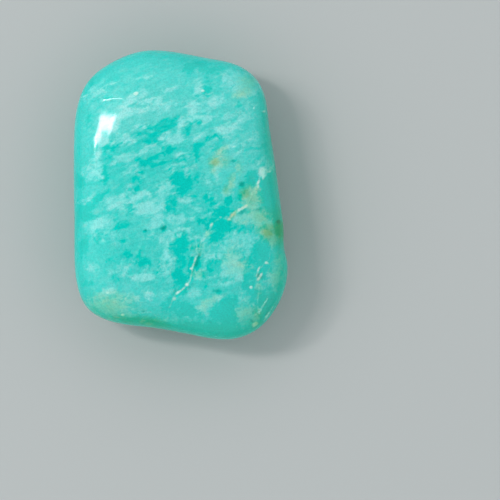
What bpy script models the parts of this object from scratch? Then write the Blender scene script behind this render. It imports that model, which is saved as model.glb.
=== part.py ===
"""A tumble-polished amazonite pebble: one solid stone, lying on the flat spot of its underside.

Seen from above, its edge is a smooth closed curve through a few points. Above and below that edge the body closes
in as superellipses. Soft ground facets, a small nick, some chips and a resting flat are then taken off it.

Frame: +Z up, X across the stone, Y along it. The origin is the centre of its box, on the surface it rests on.
"""

import math

import bmesh
import bpy
import numpy as np

MM = 0.001
NAME = "amazonite_stone"

# Driving dimensions, in millimetres
WIDTH = 19.3
LENGTH = 26.1
THICKNESS = 8.0  # before the facets take a little off the crown
GIRDLE_HEIGHT = 3.7  # of the widest line, above the resting surface
RESTING_CUT = 0.12  # taken off the underside by the resting flat

# Fullness of the profile: 2 is an ellipse, and more is a flatter face with a tighter shoulder
CROWN_FULLNESS = 3.0
BELLY_FULLNESS = 2.8

# The edge seen from above, anticlockwise from the right, in millimetres from the centre of the box
EDGE_POINTS = [
    (8.94, 0.00),
    (8.50, 3.20),
    (7.97, 6.70),
    (7.55, 9.10),
    (6.70, 10.60),
    (5.30, 11.62),
    (2.60, 12.30),
    (-0.80, 12.92),
    (-3.20, 13.00),
    (-6.00, 12.05),
    (-8.30, 10.30),
    (-9.36, 7.90),
    (-9.66, 4.60),
    (-9.66, 0.00),
    (-9.62, -4.20),
    (-9.34, -8.20),
    (-8.40, -10.25),
    (-6.60, -11.35),
    (-2.90, -11.98),
    (1.00, -12.66),
    (4.25, -13.08),
    (6.55, -12.42),
    (8.30, -10.75),
    (9.42, -8.50),
    (9.69, -6.90),
    (9.64, -6.00),
    (9.43, -5.05),
    (9.38, -4.10),
    (9.34, -3.20),
]
EDGE_SAMPLES = 1440

# Soft facets: azimuth from +X and tilt from +Z of the way each one faces, in degrees, and its depth in millimetres
FACETS = [
    (100, 2, 0.12),
    (150, 24, 0.10),
    (262, 32, 0.12),
    (320, 28, 0.10),
    (30, 26, 0.08),
    (200, 152, 0.15),
    (40, 150, 0.15),
]
FACET_CRISPNESS = 22

# Small bites out of the edge: centre, spread and depth, in millimetres
NICKS = [
    ((9.38, -4.20, 3.9), 0.60, 0.14),
    ((6.35, -12.55, 4.1), 0.30, 0.08),
    ((7.05, -12.05, 3.5), 0.26, 0.06),
]

# Cells of the box grid that is pushed out to the surface, along X, Y and Z
CELLS = (28, 36, 14)
SAME_HEIGHT = 1e-7  # metres: corners this near the resting plane lie on it

STONE_COLOUR = (0.065, 0.60, 0.53, 1.0)
STONE_ROUGHNESS = 0.12


def clear_scene():
    for obj in list(bpy.data.objects):
        bpy.data.objects.remove(obj)


def closed_spline(points, samples):
    """Points of the smooth closed curve through points: a periodic cubic spline over the chord lengths."""
    count = len(points)
    chord = np.linalg.norm(np.roll(points, -1, axis=0) - points, axis=1)
    before = np.roll(chord, 1)
    slope = (np.roll(points, -1, axis=0) - points) / chord[:, None]
    matrix = np.zeros((count, count))
    for i in range(count):
        matrix[i, i - 1] = before[i]
        matrix[i, i] = 2 * (before[i] + chord[i])
        matrix[i, (i + 1) % count] = chord[i]
    bend = np.linalg.solve(matrix, 6 * (slope - np.roll(slope, 1, axis=0)))
    start = np.concatenate([[0], np.cumsum(chord)])
    along = np.linspace(0, start[-1], samples, endpoint=False)
    i = np.searchsorted(start, along, side="right") - 1
    j = (i + 1) % count
    step = chord[i][:, None]
    a = (start[i + 1] - along)[:, None] / step
    b = 1 - a
    curved = ((a**3 - a) * bend[i] + (b**3 - b) * bend[j]) * step**2 / 6
    return a * points[i] + b * points[j] + curved


def edge_table():
    """Angles round the stone, in order, and the radius of its edge at each, fitted to WIDTH and LENGTH."""
    curve = closed_spline(np.array(EDGE_POINTS), EDGE_SAMPLES)
    low, high = curve.min(axis=0), curve.max(axis=0)
    curve = (curve - (low + high) / 2) * np.array([WIDTH, LENGTH]) / (high - low)
    angle = np.arctan2(curve[:, 1], curve[:, 0])
    order = np.argsort(angle)
    return angle[order], np.hypot(curve[:, 0], curve[:, 1])[order]


def body_gauge(ways, edge):
    """For vectors from the middle of the girdle plane, their length as a share of the way to the plain body."""
    x, y, z = ways.T
    reach = np.hypot(x, y) / np.interp(np.arctan2(y, x), *edge, period=2 * math.pi)
    above = z > 0
    half_height = np.where(above, THICKNESS - GIRDLE_HEIGHT, GIRDLE_HEIGHT + RESTING_CUT)
    fullness = np.where(above, CROWN_FULLNESS, BELLY_FULLNESS)
    return (reach**fullness + np.abs(z / half_height) ** fullness) ** (1 / fullness)


def facet_planes(plain):
    """The outward normal and the distance of each facet, cut to its depth below the plain body's points."""
    planes = []
    for azimuth, tilt, depth in FACETS:
        around, down = math.radians(azimuth), math.radians(tilt)
        normal = np.array(
            [math.sin(down) * math.cos(around), math.sin(down) * math.sin(around), math.cos(down)]
        )
        planes.append((normal, (plain @ normal).max() - depth))
    return planes


def ground_stone(ways):
    """Points of the finished surface, in millimetres above the resting plane, one along each vector in ways."""
    edge = edge_table()
    body = body_gauge(ways, edge)
    total = body**FACET_CRISPNESS
    for normal, distance in facet_planes(ways / body[:, None]):
        total += np.maximum(ways @ normal / distance, 0) ** FACET_CRISPNESS
    points = ways / (total ** (1 / FACET_CRISPNESS))[:, None]
    outward = points / np.linalg.norm(points, axis=1)[:, None]
    points[:, 2] += GIRDLE_HEIGHT
    for centre, spread, depth in NICKS:
        away = np.linalg.norm(points - np.array(centre), axis=1)
        points -= outward * (depth * np.exp(-((away / spread) ** 2)))[:, None]
    return points


def box_grid(cells):
    """A closed cube from -1 to 1, its edges along X, Y and Z cut into that many cells."""
    bm = bmesh.new()
    side = 2
    bmesh.ops.create_cube(bm, size=side)
    for axis, count in enumerate(cells):
        along = [e for e in bm.edges if abs(e.verts[0].co[axis] - e.verts[1].co[axis]) > side / 2]
        bmesh.ops.subdivide_edges(bm, edges=along, cuts=count - 1, use_grid_fill=True)
    return bm


def rest_on_flat(bm):
    """Cuts the underside off at the resting plane and closes it with one flat face."""
    everything = bm.verts[:] + bm.edges[:] + bm.faces[:]
    cut = bmesh.ops.bisect_plane(
        bm, geom=everything, dist=SAME_HEIGHT, plane_co=(0, 0, 0), plane_no=(0, 0, 1), clear_inner=True
    )
    rim = [e for e in cut["geom_cut"] if isinstance(e, bmesh.types.BMEdge)]
    bmesh.ops.contextual_create(bm, geom=rim)


def stone_mesh(cells):
    """The stone as a closed mesh in metres, from a box grid whose corners are pushed out to its surface."""
    bm = box_grid(cells)
    corners = np.array([v.co for v in bm.verts])
    half_box = np.array([WIDTH / 2, LENGTH / 2, THICKNESS / 2])
    even_spread = np.tan(corners * math.pi / 4)
    points = ground_stone(even_spread * half_box) * MM
    for vert, point in zip(bm.verts, points):
        vert.co = point
    rest_on_flat(bm)
    bmesh.ops.recalc_face_normals(bm, faces=bm.faces[:])
    mesh = bpy.data.meshes.new(NAME)
    bm.to_mesh(mesh)
    bm.free()
    mesh.shade_smooth()
    return mesh


def stone_material():
    material = bpy.data.materials.new("amazonite")
    material.use_nodes = True
    shader = material.node_tree.nodes["Principled BSDF"]
    shader.inputs["Base Color"].default_value = STONE_COLOUR
    shader.inputs["Roughness"].default_value = STONE_ROUGHNESS
    shader.inputs["Metallic"].default_value = 0.0
    return material


def main():
    clear_scene()
    stone = bpy.data.objects.new(NAME, stone_mesh(CELLS))
    stone.data.materials.append(stone_material())
    bpy.context.scene.collection.objects.link(stone)


main()
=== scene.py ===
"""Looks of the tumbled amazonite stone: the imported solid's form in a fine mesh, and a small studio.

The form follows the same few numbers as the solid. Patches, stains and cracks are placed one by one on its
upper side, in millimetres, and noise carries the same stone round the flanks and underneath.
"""

import math

import bmesh
import bpy
import numpy as np
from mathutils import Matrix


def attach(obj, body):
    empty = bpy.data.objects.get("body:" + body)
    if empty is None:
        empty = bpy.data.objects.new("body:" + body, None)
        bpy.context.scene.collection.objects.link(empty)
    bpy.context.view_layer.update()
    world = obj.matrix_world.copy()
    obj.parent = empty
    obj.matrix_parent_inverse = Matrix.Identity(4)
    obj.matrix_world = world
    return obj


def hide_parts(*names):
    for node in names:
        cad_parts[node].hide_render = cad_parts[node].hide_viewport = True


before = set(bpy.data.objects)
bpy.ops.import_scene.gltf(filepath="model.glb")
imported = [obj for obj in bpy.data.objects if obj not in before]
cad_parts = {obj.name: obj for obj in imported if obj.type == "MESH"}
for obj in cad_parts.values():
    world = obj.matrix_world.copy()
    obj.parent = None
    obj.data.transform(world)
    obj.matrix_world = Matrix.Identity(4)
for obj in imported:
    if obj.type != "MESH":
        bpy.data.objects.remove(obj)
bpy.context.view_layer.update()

MM = 0.001
NODE = "amazonite_stone"

# The solid's form, in millimetres and degrees: the same numbers as the solid is made from
WIDTH = 19.3
LENGTH = 26.1
THICKNESS = 8.0  # before the facets take a little off the crown
GIRDLE_HEIGHT = 3.7  # of the widest line, above the resting surface
RESTING_CUT = 0.12  # how far the plain body would reach below the resting surface

# Fullness of the profile: 2 is an ellipse, and more is a flatter face with a tighter shoulder
CROWN_FULLNESS = 3.0
BELLY_FULLNESS = 2.8

# The edge seen from above, anticlockwise from the right, from the centre of the box
EDGE_POINTS = [
    (8.94, 0.00),
    (8.50, 3.20),
    (7.97, 6.70),
    (7.55, 9.10),
    (6.70, 10.60),
    (5.30, 11.62),
    (2.60, 12.30),
    (-0.80, 12.92),
    (-3.20, 13.00),
    (-6.00, 12.05),
    (-8.30, 10.30),
    (-9.36, 7.90),
    (-9.66, 4.60),
    (-9.66, 0.00),
    (-9.62, -4.20),
    (-9.34, -8.20),
    (-8.40, -10.25),
    (-6.60, -11.35),
    (-2.90, -11.98),
    (1.00, -12.66),
    (4.25, -13.08),
    (6.55, -12.42),
    (8.30, -10.75),
    (9.42, -8.50),
    (9.69, -6.90),
    (9.64, -6.00),
    (9.43, -5.05),
    (9.38, -4.10),
    (9.34, -3.20),
]
EDGE_SAMPLES = 1440

# Soft facets: azimuth from +X and tilt from +Z of the way each one faces, and its depth
FACETS = [
    (100, 2, 0.12),
    (150, 24, 0.10),
    (262, 32, 0.12),
    (320, 28, 0.10),
    (30, 26, 0.08),
    (200, 152, 0.15),
    (40, 150, 0.15),
]
FACET_CRISPNESS = 22

# Small bites out of the edge: centre, spread and depth
NICKS = [
    ((9.38, -4.20, 3.9), 0.60, 0.14),
    ((6.35, -12.55, 4.1), 0.30, 0.08),
    ((7.05, -12.05, 3.5), 0.26, 0.06),
]

# Cells of the box grid that is pushed out to the surface, along X, Y and Z
CELLS = (166, 224, 30)

# Patches on the upper side, in millimetres: x, y, half length, half width, turn in degrees from +X, strength
DEEP_PATCHES = [
    (-8.0, 10.2, 0.40, 0.25, 60, 0.8),
    (-8.5, 9.5, 0.50, 0.25, 60, 0.5),
    (-2.9, 5.1, 1.10, 0.48, 6, 1.0),
    (-1.4, 6.2, 1.00, 0.34, 25, 1.0),
    (-2.6, 6.1, 0.80, 0.16, 8, 0.8),
    (-6.3, 4.2, 0.60, 0.36, 10, 0.7),
    (-6.3, 3.3, 0.40, 0.22, 20, 0.6),
    (-8.5, 4.1, 0.45, 0.25, 30, 0.5),
    (-4.6, 4.4, 0.45, 0.18, 20, 0.5),
    (-3.0, 3.2, 0.95, 0.38, 24, 1.0),
    (-1.2, 4.0, 0.62, 0.28, 20, 1.0),
    (-2.1, 2.7, 0.75, 0.16, 14, 0.9),
    (-6.7, 1.5, 0.75, 0.24, 88, 0.8),
    (-8.95, 1.2, 0.60, 0.46, 70, 0.8),
    (-3.9, 1.3, 0.50, 0.30, 70, 0.8),
    (-3.6, 2.0, 0.35, 0.22, 30, 0.7),
    (-3.9, 0.6, 0.30, 0.22, 90, 0.8),
    (-4.5, 0.4, 0.22, 0.10, 20, 0.8),
    (0.1, 1.0, 1.00, 0.80, 100, 1.0),
    (-0.3, 1.9, 0.50, 0.36, 60, 0.8),
    (0.5, 5.7, 0.62, 0.34, 70, 0.85),
    (1.6, 6.4, 0.36, 0.28, 0, 0.7),
    (1.9, 4.6, 0.80, 0.34, 33, 1.0),
    (1.3, 3.8, 0.50, 0.28, 40, 0.7),
    (0.0, 3.2, 0.50, 0.34, 60, 0.6),
    (3.2, 5.1, 1.00, 0.34, 14, 0.5),
    (1.6, 1.6, 0.45, 0.30, 40, 0.6),
    (-0.8, -0.9, 0.75, 0.46, 75, 1.0),
    (-7.4, -0.4, 1.10, 0.30, 40, 0.9),
    (-8.7, -1.2, 0.80, 0.42, 22, 0.9),
    (-9.3, -1.9, 1.00, 0.34, 85, 0.8),
    (-5.2, -2.7, 0.55, 0.28, 22, 0.9),
    (-5.8, -2.3, 0.40, 0.26, 60, 0.5),
    (-4.6, -1.3, 0.50, 0.34, 40, 0.5),
    (-3.1, -3.2, 0.16, 0.12, 0, 0.8),
    (-1.5, -3.0, 0.30, 0.20, 20, 0.9),
    (-5.2, -4.3, 0.28, 0.14, 30, 0.6),
    (-8.7, -4.6, 0.75, 0.50, 80, 0.7),
    (-9.4, -4.0, 1.90, 0.24, 88, 0.6),
    (-3.4, -6.0, 0.90, 0.50, -8, 0.6),
    (-4.7, -5.4, 0.50, 0.36, 0, 0.7),
    (-3.7, -5.3, 0.36, 0.20, 80, 0.9),
    (-6.4, -5.9, 0.50, 0.30, 0, 0.5),
    (-5.9, -7.6, 0.70, 0.34, 10, 0.5),
    (-8.3, -8.0, 0.55, 0.26, 5, 0.7),
    (-3.3, -10.4, 0.18, 0.10, 0, 0.8),
    (0.15, -4.8, 0.85, 0.90, 90, 1.0),
    (0.2, -5.9, 0.50, 0.80, 0, 0.9),
    (0.0, -7.2, 0.60, 0.70, 60, 0.75),
    (0.1, -8.1, 0.60, 0.50, 30, 0.8),
    (-1.0, -9.9, 0.70, 0.55, 20, 0.8),
    (0.5, -10.1, 0.75, 0.45, 0, 0.8),
    (1.55, -6.1, 0.55, 0.22, 85, 0.8),
    (3.0, -6.4, 0.70, 0.58, 20, 1.0),
    (2.4, -7.4, 0.70, 0.24, 10, 0.5),
    (2.3, -8.2, 0.30, 0.20, 30, 0.6),
    (3.4, -8.6, 0.40, 0.18, 0, 0.7),
    (3.6, -1.6, 0.95, 0.42, 4, 0.85),
    (3.8, -2.8, 0.95, 0.60, -15, 1.0),
    (3.3, -3.9, 0.55, 0.48, 60, 0.95),
    (2.2, -2.4, 0.75, 0.28, 6, 0.65),
    (4.3, -0.6, 0.50, 0.36, 80, 0.75),
    (2.4, -0.2, 0.52, 0.34, 70, 0.75),
    (1.5, -0.7, 0.50, 0.28, 20, 0.5),
    (8.1, -0.1, 1.50, 0.75, 96, 0.95),
    (6.4, 1.4, 0.62, 0.52, 60, 0.85),
    (5.6, 0.9, 0.40, 0.26, 30, 0.7),
    (5.4, -0.2, 0.50, 0.32, 60, 0.5),
    (6.9, -4.9, 0.80, 0.36, 80, 0.9),
    (6.6, -5.8, 0.62, 0.50, 60, 0.95),
    (7.6, -5.6, 0.42, 0.36, 40, 0.8),
    (7.6, -4.4, 0.45, 0.35, 40, 0.6),
    (7.7, -6.8, 0.45, 0.40, 10, 0.85),
    (6.2, -7.1, 0.52, 0.50, 20, 0.9),
    (6.0, -8.3, 0.70, 0.34, 100, 0.75),
    (6.4, -9.4, 0.75, 0.26, 96, 0.8),
    (4.2, -10.4, 1.25, 0.60, 94, 1.0),
    (4.4, -11.5, 0.60, 0.45, 90, 0.85),
    (4.7, -9.5, 0.55, 0.34, 40, 0.7),
    (3.7, -9.6, 0.35, 0.25, 40, 0.6),
    (7.7, -9.9, 0.85, 0.44, 70, 0.95),
    (7.4, -11.3, 0.70, 0.30, 50, 0.8),
    (0.8, 11.4, 0.50, 0.40, 60, 0.9),
    (2.2, 11.4, 1.40, 0.34, -8, 0.6),
    (2.5, 9.8, 0.60, 0.40, 60, 0.45),
    (1.6, 9.0, 0.34, 0.20, 10, 0.6),
    (5.0, 8.1, 0.40, 0.22, 10, 0.6),
    (7.75, 6.4, 1.90, 0.24, 97, 0.8),
    (6.9, 4.1, 0.95, 0.16, 14, 0.7),
    (6.6, 3.4, 0.80, 0.30, 30, 0.4),
    (4.7, 3.0, 0.22, 0.12, 10, 0.7),
    (8.8, -2.5, 0.24, 0.22, 0, 0.9),
    (7.6, -1.4, 0.35, 0.18, 60, 0.6),
    (6.2, -3.0, 1.10, 0.36, 0, 0.4),
    (0.5, -11.5, 0.45, 0.14, 10, 0.6),
    (2.7, -11.4, 0.25, 0.14, 0, 0.7),
    (-3.5, -11.2, 1.60, 0.24, -4, 0.6),
    (-0.6, -12.0, 1.40, 0.30, -10, 1.0),
    (-1.1, 6.15, 0.80, 0.30, 25, 1.3),
    (-8.2, 6.3, 0.80, 0.50, 90, 0.5),
    (-8.6, -1.9, 0.90, 0.50, 0, 0.8),
    (-4.3, -1.2, 0.40, 0.30, 0, 0.7),
    (1.6, 3.8, 0.80, 0.25, 75, 0.9),
    (3.3, 4.1, 0.50, 0.30, 0, 0.7),
    (6.8, 3.1, 0.80, 0.30, 30, 0.5),
    (8.2, 0.2, 1.60, 0.80, 95, 1.3),
    (1.3, -0.2, 0.50, 0.25, 0, 0.6),
    (2.8, -0.6, 0.30, 0.40, 0, 0.7),
    (2.6, -2.7, 0.50, 0.40, 60, 0.8),
    (1.7, -4.6, 0.30, 0.50, 0, 0.7),
    (1.2, -6.4, 1.00, 0.30, 80, 1.0),
    (2.7, -6.95, 0.60, 0.30, 10, 0.9),
    (7.2, -6.7, 0.80, 0.50, 80, 1.0),
    (7.4, -5.4, 0.90, 0.60, 80, 0.8),
    (6.3, -8.5, 0.60, 0.40, 90, 0.8),
    (7.7, -9.9, 0.90, 0.50, 70, 1.3),
    (3.6, -10.5, 0.60, 0.50, 0, 1.2),
    (4.6, -10.9, 0.50, 0.40, 0, 1.0),
    (0.6, -10.5, 0.80, 0.40, 0, 0.9),
    (1.8, -10.8, 0.60, 0.30, 0, 0.6),
    (2.4, 9.4, 0.40, 0.40, 0, 0.8),
    (2.2, 11.2, 1.20, 0.30, -8, 0.8),
    (-1.6, -6.5, 0.50, 0.30, 60, 0.7),
    (-7.2, -3.9, 0.50, 0.40, 0, 0.6),
    (3.0, -12.0, 3.00, 0.50, -4, 0.7),
    (0.0, -8.7, 0.90, 0.30, 35, 0.8),
    (7.6, -9.8, 0.90, 0.55, 75, 1.4),
    (6.5, -6.3, 0.50, 0.40, 0, 0.7),
    (7.8, -6.7, 0.60, 0.35, 90, 0.8),
    (-3.6, 1.6, 0.35, 0.35, 0, 0.7),
    (-7.0, 1.6, 0.60, 0.30, 0, 0.6),
    (-0.8, 2.2, 0.40, 0.20, 80, 0.7),
    (-2.0, 3.9, 0.40, 0.20, 20, 0.7),
    (-3.2, 3.3, 0.50, 0.25, 15, 0.7),
    (-3.3, 5.3, 0.60, 0.25, 0, 0.8),
    (-1.9, 5.4, 0.40, 0.30, 0, 0.7),
    (-4.6, 4.6, 0.50, 0.20, 0, 0.6),
    (-7.0, 8.6, 0.80, 0.30, 15, 0.5),
]

PALE_PATCHES = [
    (-3.0, 10.6, 0.90, 0.20, 15, 0.6),
    (-5.9, 8.5, 0.90, 0.10, 4, 0.5),
    (-5.1, 7.45, 0.75, 0.22, 22, 0.8),
    (-3.2, 7.6, 0.90, 0.40, 10, 0.5),
    (-1.9, 7.7, 0.80, 0.42, 20, 0.55),
    (-2.6, 8.4, 1.20, 0.30, 15, 0.45),
    (-0.9, 9.4, 1.00, 0.26, 12, 0.5),
    (-7.5, 3.5, 0.60, 0.26, 70, 0.7),
    (-8.1, 2.0, 0.70, 0.50, 80, 0.7),
    (-4.9, 3.5, 0.80, 0.24, 15, 0.8),
    (-6.0, 2.8, 0.80, 0.16, 20, 0.6),
    (-4.5, 2.2, 0.62, 0.36, 20, 0.6),
    (-6.9, 5.2, 0.60, 0.30, 20, 0.5),
    (-5.2, 5.3, 1.00, 0.50, 20, 0.4),
    (-1.3, 5.3, 0.62, 0.20, 25, 0.6),
    (-2.9, 4.2, 1.50, 0.16, 25, 0.55),
    (-0.9, 3.2, 0.60, 0.20, 30, 0.4),
    (-3.6, -0.1, 0.90, 0.30, 8, 0.95),
    (-5.8, -0.5, 0.85, 0.26, 14, 0.8),
    (-2.9, -1.3, 1.05, 0.52, 0, 0.95),
    (-2.2, -2.3, 0.66, 0.55, 80, 0.8),
    (-1.6, -0.3, 0.30, 0.36, 0, 0.6),
    (-1.1, 0.9, 0.48, 0.30, 80, 0.6),
    (-4.4, 0.8, 0.46, 0.24, 30, 0.5),
    (-1.9, 0.8, 0.40, 0.34, 60, 0.4),
    (-8.1, -0.3, 0.62, 0.22, 35, 0.6),
    (-7.3, -2.6, 0.92, 0.44, 24, 0.95),
    (-6.4, -2.0, 0.50, 0.34, 30, 0.5),
    (-7.0, -3.8, 1.00, 0.46, 10, 0.4),
    (-2.6, -3.7, 0.52, 0.28, 20, 0.6),
    (-1.4, -4.4, 0.34, 0.46, 0, 0.5),
    (-0.8, -3.4, 1.05, 0.30, 22, 0.65),
    (-1.25, -5.9, 0.70, 0.52, 60, 0.8),
    (-8.0, -6.4, 0.56, 0.42, 20, 0.65),
    (-5.0, -6.6, 0.52, 0.66, 0, 0.55),
    (-6.1, -6.9, 0.60, 0.26, 0, 0.4),
    (-3.3, -7.4, 0.88, 0.34, 2, 0.95),
    (-1.25, -7.4, 0.44, 0.58, 0, 0.5),
    (-1.1, -8.6, 0.42, 0.36, 30, 0.35),
    (-6.5, -8.8, 0.80, 0.40, 14, 0.75),
    (-2.8, -9.1, 0.40, 0.42, 40, 0.6),
    (-4.3, -9.3, 1.10, 0.66, 10, 0.4),
    (-1.0, -11.2, 0.80, 0.24, -6, 0.55),
    (-7.9, 8.4, 0.40, 0.20, 60, 0.4),
    (1.5, 10.3, 0.60, 0.30, 30, 0.5),
    (1.6, 9.6, 0.46, 0.26, 20, 0.55),
    (4.0, 10.0, 0.70, 0.50, 20, 0.35),
    (5.9, 10.1, 0.75, 0.62, 50, 0.75),
    (5.4, 9.1, 0.62, 0.32, 20, 0.8),
    (3.0, 8.6, 0.86, 0.42, 10, 0.6),
    (1.1, 7.8, 0.66, 0.50, 30, 0.8),
    (2.2, 7.4, 0.50, 0.40, 20, 0.5),
    (0.2, 6.7, 0.70, 0.30, 20, 0.55),
    (-0.4, 8.3, 0.70, 0.30, 20, 0.4),
    (1.6, 5.3, 0.60, 0.20, 26, 0.65),
    (2.4, 6.2, 0.55, 0.30, 40, 0.45),
    (4.3, 5.9, 1.15, 0.62, 20, 0.75),
    (5.6, 6.8, 0.90, 0.55, 30, 0.55),
    (6.9, 5.4, 0.40, 0.32, 40, 0.65),
    (6.2, 7.8, 0.60, 0.40, 20, 0.4),
    (4.4, 4.3, 0.80, 0.26, 24, 0.7),
    (3.7, 3.8, 0.52, 0.28, 50, 0.8),
    (6.0, 4.7, 0.90, 0.26, 20, 0.5),
    (5.4, 3.7, 0.60, 0.30, 20, 0.4),
    (3.1, 2.2, 0.24, 0.30, 0, 0.9),
    (3.3, 1.6, 0.30, 0.52, 10, 0.65),
    (2.4, 1.2, 0.40, 0.40, 0, 0.5),
    (5.2, 2.4, 0.22, 0.44, 8, 0.8),
    (4.6, 0.8, 0.30, 0.66, -10, 0.8),
    (3.6, 0.5, 0.50, 0.50, 0, 0.4),
    (7.4, 2.1, 0.30, 0.52, -14, 1.0),
    (8.1, 2.3, 0.30, 0.40, 0, 0.8),
    (7.3, 2.9, 0.80, 0.34, 20, 0.45),
    (6.4, -0.1, 0.46, 0.80, -28, 0.9),
    (6.5, -1.0, 0.80, 0.34, 0, 0.85),
    (7.0, -2.1, 0.75, 0.66, 20, 0.85),
    (5.6, -2.2, 0.66, 0.40, 20, 0.9),
    (8.3, -4.2, 0.36, 0.34, 0, 0.8),
    (5.0, -4.4, 1.30, 0.62, 4, 0.6),
    (4.7, -5.6, 0.60, 0.50, 60, 0.8),
    (4.6, -6.6, 1.30, 0.62, 0, 0.95),
    (5.3, -7.3, 0.56, 0.40, 20, 0.7),
    (4.0, -7.9, 0.85, 0.26, 8, 0.65),
    (1.9, -4.4, 0.85, 0.60, 20, 0.45),
    (1.6, -5.1, 0.40, 0.20, 0, 0.6),
    (2.4, -5.2, 0.60, 0.30, 0, 0.4),
    (2.35, -3.45, 0.26, 0.24, 40, 0.8),
    (1.8, -7.1, 0.66, 0.32, 4, 0.85),
    (1.3, -8.8, 0.66, 0.36, 20, 0.6),
    (2.5, -9.7, 1.10, 0.40, 36, 0.75),
    (3.1, -9.3, 0.40, 0.26, 30, 0.6),
    (1.7, -10.8, 1.00, 0.50, 10, 0.3),
    (5.9, -10.6, 0.75, 0.66, 20, 0.85),
    (6.7, -10.5, 0.34, 0.46, 0, 0.8),
    (5.3, -9.0, 0.28, 0.85, 0, 0.5),
    (5.5, -11.8, 0.60, 0.30, 0, 0.55),
    (8.4, -7.4, 0.80, 0.66, 50, 0.8),
    (8.8, -6.0, 0.36, 0.60, 10, 0.6),
    (8.2, -8.5, 0.50, 0.40, 30, 0.6),
    (7.0, -8.0, 0.24, 0.95, 0, 0.6),
    (0.55, -0.5, 0.58, 0.34, 10, 0.65),
    (1.2, -1.5, 1.30, 0.28, 12, 0.55),
    (0.4, -2.3, 1.20, 0.34, 12, 0.45),
    (3.2, -0.5, 0.34, 0.60, 0, 0.5),
    (8.9, -1.8, 0.30, 0.24, 0, 0.5),
    (0.5, -11.0, 0.36, 0.14, 0, 0.6),
    (3.0, -12.4, 0.34, 0.20, 0, 0.5),
    (-5.3, 7.0, 1.00, 0.35, 30, 1.0),
    (-4.2, 8.6, 1.10, 0.35, 30, 0.8),
    (-6.8, 4.7, 0.80, 0.35, -10, 1.0),
    (-4.3, 4.95, 0.80, 0.30, 15, 0.9),
    (-3.5, 6.15, 0.70, 0.20, 0, 0.6),
    (-0.4, 4.9, 0.80, 0.35, 10, 0.9),
    (0.1, 5.6, 0.70, 0.25, 90, 0.9),
    (1.7, 4.9, 0.60, 0.22, 15, 0.9),
    (-3.0, 3.65, 1.20, 0.28, 12, 0.9),
    (0.1, 2.35, 0.90, 0.32, 0, 0.9),
    (0.6, 1.8, 0.40, 0.30, 90, 0.6),
    (1.9, 6.75, 0.80, 0.30, 0, 0.9),
    (4.5, 7.1, 0.80, 0.30, 10, 0.6),
    (5.4, 10.4, 1.30, 0.60, -10, 0.9),
    (3.3, 2.9, 0.70, 0.50, 90, 0.8),
    (-4.3, 0.65, 0.50, 0.30, 30, 0.9),
    (-4.2, 2.2, 0.70, 0.35, -40, 0.6),
    (-7.4, 2.3, 1.00, 0.50, 90, 0.7),
    (-8.4, -0.5, 0.80, 0.25, 20, 0.8),
    (-1.7, 0.4, 0.60, 0.40, 70, 0.8),
    (-0.5, -0.3, 0.90, 0.40, -15, 0.6),
    (2.6, 0.5, 0.80, 0.26, 80, 0.4),
    (4.2, 0.0, 0.50, 0.35, 90, 0.6),
    (6.7, -0.4, 0.70, 0.50, 90, 0.8),
    (2.5, -1.75, 0.50, 0.15, 30, 0.6),
    (-5.3, -0.9, 1.10, 0.35, 15, 0.8),
    (-5.9, -3.7, 0.90, 0.60, -30, 0.5),
    (0.4, -3.3, 0.50, 0.30, -10, 0.8),
    (-0.7, -4.1, 0.80, 0.30, 40, 0.8),
    (4.8, -2.5, 0.70, 0.25, 80, 0.8),
    (7.9, -3.5, 0.50, 0.40, 0, 1.0),
    (1.0, -5.35, 0.60, 0.20, -5, 1.0),
    (2.6, -5.75, 0.35, 0.30, 0, 0.8),
    (3.5, -5.5, 0.70, 0.40, 20, 0.7),
    (-3.2, -6.4, 1.00, 0.30, -35, 0.4),
    (-1.3, -7.0, 0.90, 0.30, 10, 0.6),
    (2.5, -7.9, 0.80, 0.26, 10, 0.3),
    (3.3, -7.1, 0.50, 0.25, 30, 0.7),
    (3.7, -9.2, 0.30, 0.30, 0, 0.6),
    (8.8, -6.2, 0.80, 0.30, 90, 0.8),
    (6.7, -10.6, 0.60, 0.40, 90, 1.0),
    (5.4, -11.4, 0.70, 0.40, 0, 0.7),
    (-6.3, -10.0, 1.70, 0.80, -5, 0.9),
    (-2.9, -11.5, 1.00, 0.20, -8, 0.6),
    (-6.8, 10.0, 0.80, 0.30, 20, 0.6),
    (-8.3, 8.7, 0.80, 0.25, 20, 0.6),
    (1.6, 9.5, 0.50, 0.30, 70, 0.8),
    (2.0, -7.1, 0.80, 0.20, 5, 0.9),
    (3.4, -6.95, 0.80, 0.25, 20, 0.9),
    (-0.8, -5.3, 0.60, 0.30, 90, 0.8),
    (-0.1, -6.3, 0.40, 0.30, 0, 0.6),
    (1.3, -4.2, 0.50, 0.40, 60, 0.8),
    (1.9, -4.95, 0.50, 0.30, 0, 0.7),
    (0.4, -3.5, 0.40, 0.25, 0, 0.8),
    (3.8, -4.6, 0.50, 0.30, 90, 0.8),
    (5.5, -5.4, 0.60, 0.60, 0, 0.6),
    (8.0, -8.4, 0.40, 0.40, 0, 0.7),
    (8.2, -2.6, 0.60, 0.30, 90, 0.9),
    (8.3, -3.9, 0.70, 0.30, 0, 0.8),
    (5.8, -3.7, 0.90, 0.35, 0, 0.7),
    (-1.0, 0.4, 0.60, 0.25, 20, 0.8),
    (-1.7, -0.8, 0.70, 0.30, -20, 0.7),
    (-0.6, -2.15, 0.80, 0.25, 0, 0.7),
    (-5.1, 3.15, 0.60, 0.30, 20, 0.9),
    (-3.9, 2.35, 0.50, 0.35, 30, 0.9),
    (0.3, 3.4, 0.50, 0.30, 0, 0.9),
    (0.6, 6.5, 0.50, 0.30, 30, 0.9),
    (-1.6, 8.1, 0.80, 0.60, 20, 0.7),
    (-3.1, 8.3, 0.90, 0.30, 0, 0.7),
    (3.4, 8.15, 0.60, 0.35, 20, 0.8),
    (5.8, 9.9, 1.00, 0.80, 0, 1.2),
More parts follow.
